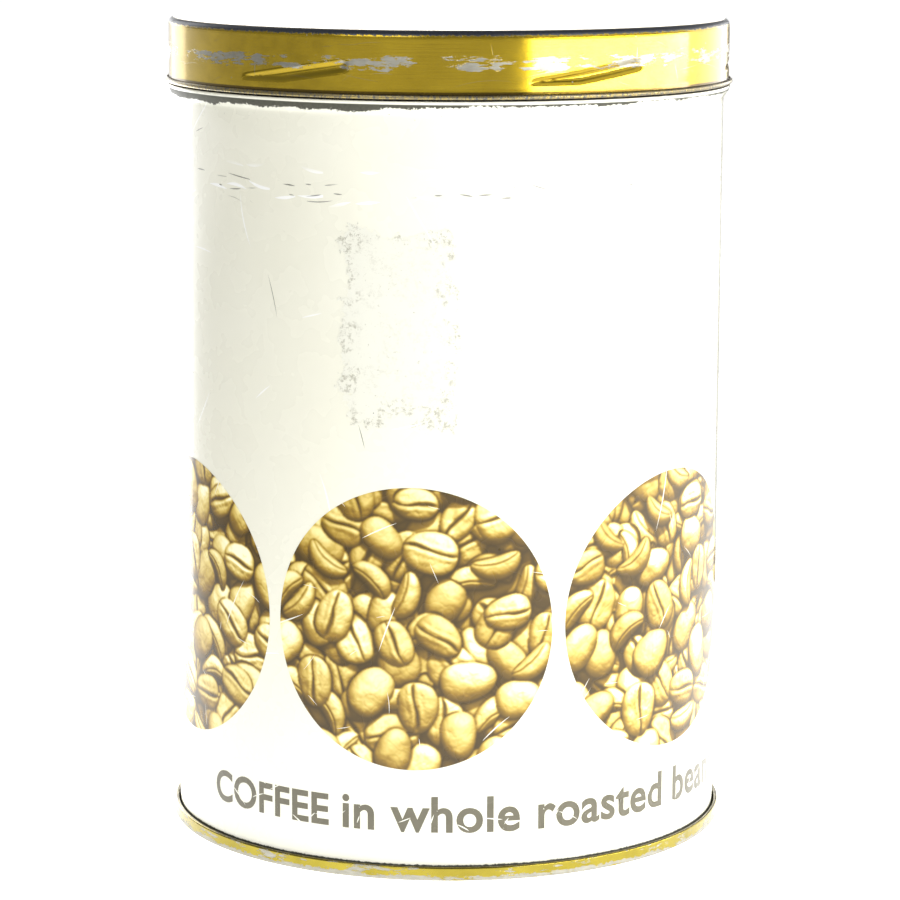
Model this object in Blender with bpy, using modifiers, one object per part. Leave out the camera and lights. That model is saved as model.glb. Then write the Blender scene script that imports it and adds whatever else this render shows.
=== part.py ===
"""Round coffee tin with a screw lid.

The body is a rolled tinplate cylinder with a printed outside, a stop bead under the lid, a
plain neck with six pressed thread ribs and a mouth curled inwards. The bottom end is joined
on by a double seam with a ring of sealing compound in its fold. The lid is one pressed shell
with six inward lugs and a curled edge, and it holds a loose pulpboard liner.

Metres, +Z up. The tin stands on z = 0 with its axis on Z, and the front faces -Y.
"""
import math

import bmesh
import bpy

MM = 0.001

# Tinplate and clearance
SHEET = 0.25 * MM            # thickness of the body, bottom and lid plate
FIT = 0.3 * MM               # gap kept between neighbouring pieces
FACETS = 48                  # flats round the axis, a multiple of the six lugs

# Body
BODY_R = 63.5 * MM           # outside of the printed wall
NECK_R = 62.9 * MM           # outside of the plain neck under the lid
MOUTH_Z = 185.5 * MM         # top of the curled mouth
MOUTH_CURL_R = 0.8 * MM
STOP_BEAD_R = 65.0 * MM      # outermost line of the bead that the lid closes on
STOP_BEAD_Z = 172.0 * MM
SHOULDER_Z = 169.4 * MM      # where the wall starts to flare into the bead

# Bottom end and double seam
SEAM_R = 64.8 * MM           # outside of the double seam
SEAM_HEIGHT = 3.1 * MM
HOOK_GAP = 0.12 * MM         # between the folded layers of the seam
COUNTERSINK_R = 62.7 * MM    # inside of the chuck wall
COUNTERSINK_Z = 4.6 * MM
PANEL_Z = 3.7 * MM           # underside of the bottom panel

# Lid
LID_TOP_Z = 187.4 * MM
LID_CORNER_R = 1.5 * MM
SKIRT_R = 64.6 * MM
LID_CURL_R = 0.55 * MM       # outside radius of the curled edge
LID_CURL_Z = 173.3 * MM      # centre of the curled edge

# Screw thread, shared by the lid's lugs and the neck's ribs
LUG_COUNT = 6
LUG_ANGLE = math.radians(-31.8)      # middle of the first lug, from the front towards +X
LUG_HALF_SPAN = math.radians(12.0)
LUG_WIDTH = 2.6 * MM
LUG_MID_Z = 177.65 * MM
LUG_FLOOR_Z = 175.95 * MM            # the lugs are cut flat above the curled edge
LUG_TIP_R = 63.3 * MM                # innermost face of the lugs
RIB_TIP_R = 63.95 * MM               # outermost face of the neck's ribs
LEAD_PER_RADIAN = 62.0 * MM / math.tau

# Liner
LINER_R = 62.8 * MM
LINER_THICKNESS = 1.0 * MM

# Side seam
SOLDER_WIDTH = 4.0 * MM
SOLDER_THICKNESS = 0.45 * MM
SOLDER_BOTTOM_Z = 6.5 * MM
SIDE_SEAM_TURN = math.radians(22.9)


def make_collection(name):
    """A new collection in the scene."""
    collection = bpy.data.collections.new(name)
    bpy.context.scene.collection.children.link(collection)
    return collection


def make_material(name, color, roughness, metallic):
    """A Principled material of one plain finish."""
    material = bpy.data.materials.new(name)
    material.use_nodes = True
    shader = material.node_tree.nodes["Principled BSDF"]
    shader.inputs["Base Color"].default_value = (*color, 1.0)
    shader.inputs["Roughness"].default_value = roughness
    shader.inputs["Metallic"].default_value = metallic
    return material


def arc(centre, radius, start, end, steps):
    """Points along an arc of a profile, from one angle to another in degrees."""
    points = []
    for step in range(steps + 1):
        angle = math.radians(start + (end - start) * step / steps)
        points.append((centre[0] + radius * math.cos(angle), centre[1] + radius * math.sin(angle)))
    return points


def turned(name, profile, material, closed=False, sheet=0.0):
    """A profile of (radius, height) points turned about Z, with a sheet's thickness if given."""
    mesh = bpy.data.meshes.new(name)
    edges = [(i, i + 1) for i in range(len(profile) - 1)]
    if closed:
        edges.append((len(profile) - 1, 0))
    mesh.from_pydata([(radius, 0.0, height) for radius, height in profile], edges, [])
    mesh.materials.append(material)
    piece = bpy.data.objects.new(name, mesh)
    parts.objects.link(piece)
    screw = piece.modifiers.new("Turn", 'SCREW')
    screw.axis = 'Z'
    screw.steps = FACETS
    screw.render_steps = FACETS
    screw.use_merge_vertices = True
    screw.merge_threshold = 0.000001
    screw.use_smooth_shade = True
    if sheet:
        wall = piece.modifiers.new("Plate thickness", 'SOLIDIFY')
        wall.thickness = sheet
        wall.offset = -1.0
        wall.use_even_offset = True
    return piece


def thread_bars(name, tip_r, root_r, width, half_span, mid_z, floor_z=0.0):
    """Six curved bars along the thread's helix, narrower at the tip than at the root."""
    cuts = 5
    bars = bmesh.new()
    for lug in range(LUG_COUNT):
        middle = LUG_ANGLE + lug * math.tau / LUG_COUNT
        before = len(bars.verts)
        bmesh.ops.create_cube(bars, size=2.0)
        bars.verts.ensure_lookup_table()
        cube = bars.verts[before:]
        lengthwise = {edge for vert in cube for edge in vert.link_edges
                      if abs(edge.verts[0].co.x - edge.verts[1].co.x) > 1.0}
        bmesh.ops.subdivide_edges(bars, edges=list(lengthwise), cuts=cuts, use_grid_fill=True)
        bars.verts.ensure_lookup_table()
        for vert in bars.verts[before:]:
            along, depth, across = vert.co
            tip = (depth < 0.0) == (tip_r > root_r)
            taper = 0.8 if tip else 1.0
            end = 1.0 - 0.35 * along ** 6
            angle = along * half_span * (0.97 if tip else 1.0)
            radius = tip_r if tip else root_r
            height = mid_z + LEAD_PER_RADIAN * angle + across * 0.5 * width * taper * end
            height = max(height, floor_z)
            vert.co = (radius * math.sin(middle + angle), -radius * math.cos(middle + angle), height)
    bmesh.ops.recalc_face_normals(bars, faces=bars.faces)
    mesh = bpy.data.meshes.new(name)
    bars.to_mesh(mesh)
    bars.free()
    form = bpy.data.objects.new(name, mesh)
    form.hide_render = True
    form.display_type = 'WIRE'
    forms.objects.link(form)
    return form


def press(piece, form, operation):
    """Join a form to a piece, or cut it away."""
    step = piece.modifiers.new(form.name, 'BOOLEAN')
    step.operation = operation
    step.solver = 'EXACT'
    step.object = form


def body_shell():
    """Printed wall with its stop bead, neck, curled mouth and the hook of the bottom seam."""
    curl_centre = (NECK_R - MOUTH_CURL_R, MOUTH_Z - MOUTH_CURL_R)
    hook_r = SEAM_R - 2 * SHEET - HOOK_GAP
    hook_floor_z = 1.3 * MM
    hook_tip_z = SEAM_HEIGHT - 0.65 * MM
    profile = arc(curl_centre, MOUTH_CURL_R, 290, 0, 6)
    profile += [
        (NECK_R, STOP_BEAD_Z + 1.0 * MM),
        (NECK_R + 0.4 * MM, STOP_BEAD_Z + 0.45 * MM),
        (STOP_BEAD_R - 0.3 * MM, STOP_BEAD_Z + 0.3 * MM),
        (STOP_BEAD_R, STOP_BEAD_Z),
        (STOP_BEAD_R - 0.1 * MM, STOP_BEAD_Z - 0.6 * MM),
        (BODY_R + 0.2 * MM, SHOULDER_Z + 0.5 * MM),
        (BODY_R, SHOULDER_Z - 0.4 * MM),
        (BODY_R, hook_floor_z),
        (hook_r, hook_floor_z),
        (hook_r, hook_tip_z),
    ]
    paint = make_material("cream_lithograph", (0.86, 0.85, 0.78), 0.35, 0.0)
    shell = turned("body_shell", profile, paint, sheet=SHEET)
    rib_rise = (LUG_WIDTH + 0.35 * MM) / math.cos(math.atan(LEAD_PER_RADIAN / NECK_R))
    outer = thread_bars("neck_rib_form", RIB_TIP_R, NECK_R - 0.2 * MM, LUG_WIDTH, LUG_HALF_SPAN,
                        LUG_MID_Z + rib_rise)
    inner = thread_bars("neck_rib_hollow", RIB_TIP_R - SHEET, NECK_R - 0.8 * MM,
                        LUG_WIDTH - 2 * SHEET, LUG_HALF_SPAN * 0.97, LUG_MID_Z + rib_rise)
    press(shell, outer, 'UNION')
    press(shell, inner, 'DIFFERENCE')
    return shell


def side_seam_solder():
    """Run of solder down the inside of the lapped side seam, at the back between two prints."""
    top_z = SHOULDER_Z - 1.5 * MM
    outer_y = BODY_R - SHEET - 0.45 * MM
    bpy.ops.mesh.primitive_cube_add(size=1.0)
    strip = bpy.context.active_object
    strip.name = "side_seam_solder"
    strip.scale = (SOLDER_WIDTH, SOLDER_THICKNESS, top_z - SOLDER_BOTTOM_Z)
    strip.rotation_euler = (0.0, 0.0, SIDE_SEAM_TURN)
    bpy.ops.object.transform_apply(location=False, rotation=True, scale=True)
    reach = outer_y - SOLDER_THICKNESS / 2
    strip.location = (-reach * math.sin(SIDE_SEAM_TURN), reach * math.cos(SIDE_SEAM_TURN),
                      (top_z + SOLDER_BOTTOM_Z) / 2)
    for collection in list(strip.users_collection):
        collection.objects.unlink(strip)
    parts.objects.link(strip)
    strip.data.materials.append(make_material("solder", (0.52, 0.53, 0.54), 0.4, 1.0))
    edge = strip.modifiers.new("Rounded run", 'BEVEL')
    edge.width = 0.15 * MM
    edge.segments = 1
    return strip


def bottom_end():
    """Gold lacquered bottom: recessed panel, chuck wall and the outer fold of the double seam."""
    corner = 0.35 * MM
    hook_face_r = SEAM_R - 3 * SHEET - 2 * HOOK_GAP
    profile = [(hook_face_r, 1.65 * MM), (hook_face_r, SEAM_HEIGHT - corner)]
    profile += [(hook_face_r + corner, SEAM_HEIGHT), (SEAM_R - corner, SEAM_HEIGHT)]
    profile += [(SEAM_R, SEAM_HEIGHT - corner), (SEAM_R, corner), (SEAM_R - corner, 0.0)]
    profile += [(COUNTERSINK_R + corner, 0.0), (COUNTERSINK_R, corner)]
    profile += [(COUNTERSINK_R, COUNTERSINK_Z - 0.4 * MM), (COUNTERSINK_R - 0.5 * MM, COUNTERSINK_Z)]
    profile += [(COUNTERSINK_R - 2.0 * MM, COUNTERSINK_Z), (COUNTERSINK_R - 3.2 * MM, PANEL_Z)]
    for bead_r in (47.0 * MM, 28.0 * MM):
        profile += [(bead_r + 1.6 * MM, PANEL_Z), (bead_r, PANEL_Z - 0.7 * MM), (bead_r - 1.6 * MM, PANEL_Z)]
    profile.append((0.0, PANEL_Z))
    gold = make_material("gold_lacquer_bottom", (0.62, 0.50, 0.16), 0.35, 0.8)
    return turned("bottom_end", profile, gold, sheet=SHEET)


def bottom_sealing_ring():
    """Ring of sealing compound pressed into the fold of the double seam."""
    inner_r = BODY_R - 0.2 * MM
    outer_r = SEAM_R - SHEET - 0.15 * MM
    profile = [(outer_r, 0.9 * MM), (outer_r, 0.4 * MM), (inner_r, 0.4 * MM), (inner_r, 0.9 * MM)]
    compound = make_material("sealing_compound", (0.42, 0.40, 0.36), 0.9, 0.0)
    return turned("bottom_sealing_ring", profile, compound, closed=True)


def lid_shell():
    """Gold lacquered lid: flat top, skirt, outward curl and six pressed-in screw lugs."""
    corner_centre = (SKIRT_R - LID_CORNER_R, LID_TOP_Z - LID_CORNER_R)
    curl_centre = (SKIRT_R - SHEET + LID_CURL_R, LID_CURL_Z)
    profile = [(0.0, LID_TOP_Z)]
    profile += arc(corner_centre, LID_CORNER_R, 90, 0, 3)
    profile += arc(curl_centre, LID_CURL_R - SHEET, 180, 440, 6)
    gold = make_material("gold_lacquer_lid", (0.72, 0.60, 0.18), 0.3, 0.8)
    lid = turned("lid_shell", profile, gold, sheet=SHEET)
    inner = thread_bars("lid_lug_form", LUG_TIP_R, SKIRT_R - 0.2 * MM, LUG_WIDTH, LUG_HALF_SPAN,
                        LUG_MID_Z, LUG_FLOOR_Z - 0.2 * MM)
    outer = thread_bars("lid_lug_hollow", LUG_TIP_R + SHEET, SKIRT_R + 0.6 * MM,
                        LUG_WIDTH - 2 * SHEET, LUG_HALF_SPAN * 0.97, LUG_MID_Z, LUG_FLOOR_Z)
    press(lid, inner, 'UNION')
    press(lid, outer, 'DIFFERENCE')
    return lid


def lid_liner():
    """Loose pulpboard disc inside the lid, which seals on the curled mouth."""
    top_z = LID_TOP_Z - SHEET - FIT
    bottom_z = top_z - LINER_THICKNESS
    edge = 0.2 * MM
    profile = [(0.0, top_z), (LINER_R - edge, top_z), (LINER_R, top_z - edge)]
    profile += [(LINER_R, bottom_z + edge), (LINER_R - edge, bottom_z), (0.0, bottom_z)]
    board = make_material("pulpboard", (0.72, 0.66, 0.55), 0.9, 0.0)
    return turned("lid_liner", profile, board)


for old in list(bpy.data.objects):
    bpy.data.objects.remove(old)

parts = make_collection("coffee_tin")
forms = make_collection("press_forms")

body_shell()
side_seam_solder()
bottom_end()
bottom_sealing_ring()
lid_shell()
lid_liner()
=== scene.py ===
import math

import bpy
import numpy as np
from mathutils import Matrix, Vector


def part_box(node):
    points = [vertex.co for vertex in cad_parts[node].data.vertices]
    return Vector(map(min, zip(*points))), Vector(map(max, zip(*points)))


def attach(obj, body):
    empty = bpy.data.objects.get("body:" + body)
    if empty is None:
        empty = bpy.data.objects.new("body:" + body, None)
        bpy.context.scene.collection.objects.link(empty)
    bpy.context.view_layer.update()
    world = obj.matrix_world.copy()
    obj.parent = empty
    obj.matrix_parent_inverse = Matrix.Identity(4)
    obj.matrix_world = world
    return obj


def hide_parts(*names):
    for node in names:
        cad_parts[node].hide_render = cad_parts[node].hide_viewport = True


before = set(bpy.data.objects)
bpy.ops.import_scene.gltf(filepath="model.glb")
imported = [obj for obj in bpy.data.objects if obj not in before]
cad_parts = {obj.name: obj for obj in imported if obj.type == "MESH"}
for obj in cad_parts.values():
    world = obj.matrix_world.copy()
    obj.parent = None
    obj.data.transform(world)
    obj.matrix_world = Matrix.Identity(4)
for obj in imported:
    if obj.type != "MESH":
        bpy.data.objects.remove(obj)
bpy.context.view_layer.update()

MM = 0.001

# ---------------------------------------------------------------- camera, floor and lights
# A long lens a little above the lid's height, looking down about ten degrees. The tin stands
# on a pale floor between white panels: a strong one to the right, a softer one behind.
CAMERA_DISTANCE = 0.8027
CAMERA_HEIGHT = 0.2265
CAMERA_TILT = math.radians(9.948)
CAMERA_YAW = math.radians(0.042)
CAMERA_ROLL = math.radians(0.22)
LENS_MM = 138.2

bpy.ops.object.select_all(action='DESELECT')
bpy.ops.object.camera_add(location=(0, -CAMERA_DISTANCE, CAMERA_HEIGHT))
camera = bpy.context.object
camera.name = "camera"
camera.data.lens = LENS_MM
camera.data.sensor_width = 36.0
camera.data.clip_start = 0.05
aim = Matrix.Rotation(-CAMERA_YAW, 4, 'Z') @ Matrix.Rotation(math.pi / 2 - CAMERA_TILT, 4, 'X')
aim = aim @ Matrix.Rotation(CAMERA_ROLL, 4, 'Z')
camera.matrix_world = Matrix.Translation((0, -CAMERA_DISTANCE, CAMERA_HEIGHT)) @ aim
bpy.context.scene.camera = camera

bpy.ops.mesh.primitive_plane_add(size=30.0, location=(0, 0, -0.0002))
floor = bpy.context.object
floor.name = "floor"


def new_material(name, roughness, metallic=0.0):
    """A material with its shader and node tree ready to be wired."""
    material = bpy.data.materials.new(name)
    material.use_nodes = True
    shader = material.node_tree.nodes["Principled BSDF"]
    shader.inputs["Roughness"].default_value = roughness
    shader.inputs["Metallic"].default_value = metallic
    return material, material.node_tree, shader


def node(tree, kind, **settings):
    """Add a node, with its properties and its inputs' values given by name or number."""
    made = tree.nodes.new(kind)
    inputs = settings.pop("inputs", {})
    for key, value in settings.items():
        setattr(made, key, value)
    for key, value in inputs.items():
        if isinstance(value, bpy.types.NodeSocket):
            tree.links.new(value, made.inputs[key])
        else:
            made.inputs[key].default_value = value
    return made


def feed(shader, name, socket):
    """Link a value to one of the shader's inputs."""
    shader.id_data.links.new(socket, shader.inputs[name])


def own_place(tree):
    """The point in the piece's own coordinates, in metres."""
    return node(tree, "ShaderNodeTexCoord").outputs["Object"]


def tree_of(*things):
    """The node tree that the given sockets belong to."""
    return next(thing.id_data for thing in things if isinstance(thing, bpy.types.NodeSocket))


def math_of(operation, first, second=0.0, third=0.0):
    """A Math node's result."""
    tree = tree_of(first, second, third)
    inputs = {0: first, 1: second, 2: third}
    return node(tree, "ShaderNodeMath", operation=operation, inputs=inputs).outputs[0]


def vector_of(operation, first, second=None, **more):
    """A Vector Math node's vector."""
    inputs = {0: first, **more}
    if second is not None:
        inputs[1] = second
    return node(first.id_data, "ShaderNodeVectorMath", operation=operation, inputs=inputs).outputs[0]


def step_of(value, low, high, to_low=0.0, to_high=1.0):
    """A Map Range node's smooth result, clamped."""
    inputs = {"Value": value, "From Min": low, "From Max": high, "To Min": to_low, "To Max": to_high}
    made = node(value.id_data, "ShaderNodeMapRange", interpolation_type='SMOOTHSTEP', inputs=inputs)
    return made.outputs["Result"]


floor_paint, tree, shader = new_material("pale_floor", 0.9)
floor_place = own_place(tree)


def floor_pool(centre, near, far, low, high):
    """Painted light and shade on the floor round a spot: low up to one distance from it, high past the
    other.
    """
    away = vector_of('SUBTRACT', floor_place, (centre[0], centre[1], 0.0))
    reach = node(away.id_data, "ShaderNodeVectorMath", operation='LENGTH', inputs={0: away})
    return step_of(reach.outputs["Value"], near, far, low, high)


# The floor glows: painted light, brightest right round the tin and dimming to nothing about a metre to the
# left. Its colour is also darker off to the left: painted shade.
far_glow = floor_pool((-1.0, -0.15), 0.48, 1.04, 0.0, 0.70)
near_glow = floor_pool((0.0, 0.0), 0.16, 0.42, 0.75, 0.0)
near_floor_shade = floor_pool((-1.0, -0.15), 0.48, 1.04, 0.50, 0.93)
far_floor_shade = floor_pool((-2.8, -0.6), 0.90, 1.90, 0.45, 1.0)
feed(shader, "Emission Strength", math_of('ADD', far_glow, near_glow))
feed(shader, "Base Color", math_of('MULTIPLY', near_floor_shade, far_floor_shade))
shader.inputs["Specular IOR Level"].default_value = 0.1
shader.inputs["Emission Color"].default_value = (1.0, 1.0, 0.99, 1)
floor.data.materials.append(floor_paint)


def soft_panel(name, near_end, far_end, low, high, glow):
    """A standing white panel between two points of the floor, lit on the tin's side."""
    along = (far_end[0] - near_end[0], far_end[1] - near_end[1])
    width = math.hypot(along[0], along[1])
    middle = ((near_end[0] + far_end[0]) / 2, (near_end[1] + far_end[1]) / 2, (low + high) / 2)
    bpy.ops.object.light_add(type='AREA', location=middle)
    panel = bpy.context.object
    panel.name = name
    panel.data.shape = 'RECTANGLE'
    panel.data.size = width
    panel.data.size_y = high - low
    panel.data.energy = glow * math.pi * width * (high - low)
    turn = math.atan2(along[1], along[0])
    panel.rotation_euler = (math.pi / 2, 0.0, turn)
    panel.visible_camera = False
    return panel


soft_panel("right_panel", (0.335, -0.55), (1.10, 0.42), 0.105, 0.17, 18.5)
soft_panel("right_upper_panel", (0.335, -0.55), (1.10, 0.42), 0.30, 0.95, 1.1)
soft_panel("right_back_panel", (1.12, 0.44), (0.62, 1.42), 0.0, 0.60, 2.2)
soft_panel("back_panel", (1.20, 1.45), (-1.20, 1.45), 0.18, 0.42, 2.4)
soft_panel("left_back_panel", (-0.55, 1.20), (-0.76, 0.70), 0.0, 0.80, 1.7)
soft_panel("left_edge_panel", (-0.09, 0.20), (-0.188, 0.116), 0.0, 0.155, 3.6)
soft_panel("front_fill", (-1.15, -1.2), (-0.4, -1.7), 0.5, 1.3, 3.1)

# a narrow black card behind the tin's right edge, seen only in the varnish, draws that edge
bpy.ops.mesh.primitive_plane_add(size=1.0, location=(0.128, 0.245, 0.11))
card = bpy.context.object
card.name = "edge_card"
card.rotation_euler = (math.pi / 2, 0.0, math.radians(-10))
card.scale = (0.05, 0.22, 1.0)
card_paint, tree, shader = new_material("black_card", 0.5)
shader.inputs["Base Color"].default_value = (0.01, 0.01, 0.01, 1)
card.data.materials.append(card_paint)
card.visible_camera = False
card.visible_diffuse = False
card.visible_shadow = False

world = bpy.data.worlds.new("studio")
bpy.context.scene.world = world
world.use_nodes = True
sky = world.node_tree
sky_direction = node(sky, "ShaderNodeTexCoord").outputs["Generated"]
sky_height = node(sky, "ShaderNodeSeparateXYZ", inputs={0: sky_direction}).outputs["Z"]
sky_ramp = node(sky, "ShaderNodeValToRGB", inputs={0: sky_height})
sky_ramp.color_ramp.elements[0].position = 0.30
sky_ramp.color_ramp.elements[0].color = (0.47, 0.47, 0.465, 1)
sky_ramp.color_ramp.elements[1].position = 0.85
sky_ramp.color_ramp.elements[1].color = (0.30, 0.31, 0.33, 1)
feed(sky.nodes["Background"], "Color", sky_ramp.outputs[0])
bpy.context.scene.view_settings.view_transform = 'Standard'

# ---------------------------------------------------------------- body
# Tinplate rolled round, lapped and soldered at the back, with the stop bead, the neck's six
# thread ribs and the curled mouth pressed in, and the lower edge hooked into the base seam.
PLATE = 0.25 * MM
seam_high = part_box("bottom_end")[1]
lid_low, lid_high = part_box("lid_shell")
body_low, body_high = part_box("body_shell")
liner_low, liner_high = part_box("lid_liner")
solder_low, solder_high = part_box("side_seam_solder")

SEAM_R = seam_high[0]
BEAD_R = body_high[0]
MOUTH_Z = body_high[2]
LID_TOP = lid_high[2]
CURL_R = lid_high[0]
WALL_R = SEAM_R - 1.3 * MM
NECK_R = WALL_R - 0.6 * MM
SKIRT_R = CURL_R - 0.85 * MM
BEAD_Z = MOUTH_Z - 13.5 * MM
HOOK_Z = body_low[2] + PLATE

SEAM_ANGLE = math.atan2(solder_low[0] + solder_high[0], -solder_low[1] - solder_high[1])

LUGS = 6
LUG_ANGLE = math.radians(-31.8)
LUG_LENGTH = 27.0 * MM
LUG_WIDTH = 2.6 * MM
LUG_Z = 177.65 * MM
LUG_FLOOR = 175.95 * MM
LUG_DEPTH = 0.82 * MM
RIB_DEPTH = 1.05 * MM
LAP_STEP = 0.22 * MM
THREAD_RISE = 62.0 * MM / math.tau
RIB_LIFT = 2.99 * MM


def bend(centre_r, centre_z, radius, start, end, steps):
    """Points of a rounded corner or curl of a turned profile, angles in degrees."""
    turns = [math.radians(start + (end - start) * i / steps) for i in range(steps + 1)]
    return [(centre_r + radius * math.cos(a), centre_z + radius * math.sin(a)) for a in turns]


def climb(radius, low, high, steps):
    """Evenly spaced points along a straight wall, top first."""
    return [(radius, high + (low - high) * i / steps) for i in range(steps + 1)]


def pressed_ring(centre, half, depth, height, steps):
    """Points of a shallow rounded ring in a level sheet, outermost first."""
    across = [1.0 - 2.0 * i / steps for i in range(steps + 1)]
    return [(centre + half * a, height + depth * math.cos(a * math.pi / 2) ** 2) for a in across]


def turned(name, profile, around, start_fill='NOTHING'):
    """A sheet drawn round the axis: a circle extruded from point to point of its profile."""
    bpy.ops.object.select_all(action='DESELECT')
    first_r, first_z = profile[0]
    bpy.ops.mesh.primitive_circle_add(vertices=around, radius=first_r, fill_type=start_fill,
                                      location=(0, 0, first_z))
    piece = bpy.context.object
    piece.name = name
    piece.data.name = name
    bpy.ops.object.transform_apply(location=True, rotation=True, scale=True)
    bpy.ops.object.mode_set(mode='EDIT')
    bpy.ops.mesh.select_mode(type='EDGE')
    bpy.ops.mesh.select_all(action='DESELECT')
    bpy.ops.mesh.select_non_manifold(extend=False, use_wire=True, use_boundary=True,
                                     use_multi_face=False, use_non_contiguous=False, use_verts=False)
    last_r, last_z = first_r, first_z
    for radius, height in profile[1:]:
        bpy.ops.mesh.extrude_region_move(TRANSFORM_OT_translate={"value": (0, 0, height - last_z)})
        if radius > 0.0:
            grow = radius / last_r
            bpy.ops.transform.resize(value=(grow, grow, 1.0), center_override=(0, 0, height))
        else:
            bpy.ops.mesh.merge(type='CENTER')
        last_r, last_z = radius, height
    bpy.ops.mesh.select_all(action='SELECT')
    bpy.ops.mesh.normals_make_consistent(inside=False)
    bpy.ops.object.mode_set(mode='OBJECT')
    return piece


def points_of(piece):
    """The piece's vertices as an array."""
    places = np.empty(len(piece.data.vertices) * 3)
    piece.data.vertices.foreach_get("co", places)
    return places.reshape(-1, 3)


def radius_of(places):
    """Distance of points from the axis."""
    return np.hypot(places[:, 0], places[:, 1])


def angle_of(places):
    """Angle of points round the axis, 0 at the front, rising to the right."""
    return np.arctan2(places[:, 0], -places[:, 1])


def round_axis(angle, radius, height):
    """Points at these angles, radii and heights."""
    return np.stack([radius * np.sin(angle), -radius * np.cos(angle), height], axis=1)


def put_points(piece, places):
    piece.data.vertices.foreach_set("co", places.ravel())
    piece.data.update()


def face_outwards(piece, height):
    """Turn the sheet's faces so that its outermost face at that height looks away from the axis."""
    near = [f for f in piece.data.polygons if abs(f.center.z - height) < 2.0 * MM]
    widest = max(near, key=lambda f: math.hypot(f.center.x, f.center.y))
    if widest.normal.x * widest.center.x + widest.normal.y * widest.center.y < 0.0:
        bpy.ops.object.mode_set(mode='EDIT')
        bpy.ops.mesh.select_all(action='SELECT')
        bpy.ops.mesh.flip_normals()
        bpy.ops.object.mode_set(mode='OBJECT')


UV_UNIT = 0.4


def wrap_map(piece):
    """UV map of the wall laid flat: distance round the axis and height; level faces from above."""
    mesh = piece.data
    places = points_of(piece)
    corners = np.empty(len(mesh.loops), dtype=np.int32)
    mesh.loops.foreach_get("vertex_index", corners)
    starts = np.empty(len(mesh.polygons), dtype=np.int32)
    mesh.polygons.foreach_get("loop_start", starts)
    totals = np.empty(len(mesh.polygons), dtype=np.int32)
    mesh.polygons.foreach_get("loop_total", totals)
    angle = angle_of(places[corners])
    highest = np.repeat(np.maximum.reduceat(angle, starts), totals)
    angle = np.where(highest - angle > math.pi, angle + math.tau, angle)
    flat = np.stack([angle * WALL_R, places[corners, 2]], axis=1) / UV_UNIT
    normals = np.empty(len(mesh.polygons) * 3)
    mesh.polygons.foreach_get("normal", normals)
    level = np.repeat(np.abs(normals.reshape(-1, 3)[:, 2]) > 0.8, totals)
    flat[level] = places[corners[level], :2] / UV_UNIT
    layer = mesh.uv_layers.new(name="wall")
    layer.data.foreach_set("uv", flat.ravel())


def smooth(low, high, value):
    """Smooth step from 0 at low to 1 at high."""
    t = np.clip((value - low) / (high - low), 0.0, 1.0)
    return t * t * (3.0 - 2.0 * t)


def thread_depth(places, lift, floor_z):
    """How fully each point lies in one of the six thread grooves, from 0 to 1."""
    angle = angle_of(places)
    pitch = math.tau / LUGS
    offset = (angle - LUG_ANGLE + pitch / 2) % pitch - pitch / 2
    along = np.abs(offset) * radius_of(places)
    across = places[:, 2] - (LUG_Z + lift + offset * THREAD_RISE)
    corner = 0.9 * MM
    past_end = np.maximum(along - (LUG_LENGTH / 2 - corner), 0.0)
    past_side = np.maximum(np.abs(across) - (LUG_WIDTH / 2 - corner), 0.0)
    outside = np.hypot(past_end, past_side) - corner
    if floor_z:
        outside = np.maximum(outside, floor_z - places[:, 2])
    return 1.0 - smooth(-1.35 * MM, 0.3 * MM, outside)


def thicken(piece, inner_slot):
    """Give the sheet its plate thickness inwards, with its own finish on the inner side."""
    bpy.ops.object.select_all(action='DESELECT')
    piece.select_set(True)
    bpy.context.view_layer.objects.active = piece
    wall = piece.modifiers.new("plate", 'SOLIDIFY')
    wall.thickness = PLATE
    wall.offset = -1.0
    wall.use_even_offset = True
    wall.material_offset = inner_slot
    wall.material_offset_rim = 0
    bpy.ops.object.modifier_apply(modifier=wall.name)
    bpy.ops.object.shade_smooth_by_angle(angle=math.radians(50))


BODY_SIDES = 480
CURL_TUBE = 0.8 * MM
hook_r = SEAM_R - 2 * PLATE - 0.12 * MM
body_profile = bend(NECK_R - CURL_TUBE, MOUTH_Z - CURL_TUBE, CURL_TUBE, 290, 0, 14)
body_profile += climb(NECK_R, BEAD_Z + 1.0 * MM, MOUTH_Z - CURL_TUBE - 0.3 * MM, 34)
body_profile += bend(NECK_R + 0.35 * MM, BEAD_Z + 0.8 * MM, 0.35 * MM, 180, 270, 4)
body_profile += bend(BEAD_R - 0.35 * MM, BEAD_Z + 0.1 * MM, 0.35 * MM, 80, -25, 7)
body_profile += [(WALL_R + 0.75 * MM, BEAD_Z - 1.5 * MM), (WALL_R + 0.25 * MM, BEAD_Z - 2.3 * MM)]
body_profile += [(WALL_R + 0.06 * MM, BEAD_Z - 2.8 * MM)]
body_profile += climb(WALL_R, HOOK_Z + 0.4 * MM, BEAD_Z - 3.4 * MM, 26)
body_profile += [(WALL_R + 0.1 * MM, HOOK_Z + 0.1 * MM), (WALL_R + 0.3 * MM, HOOK_Z)]
body_profile += [(hook_r - 0.2 * MM, HOOK_Z), (hook_r, HOOK_Z + 0.2 * MM), (hook_r, HOOK_Z + 1.1 * MM)]

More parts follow.
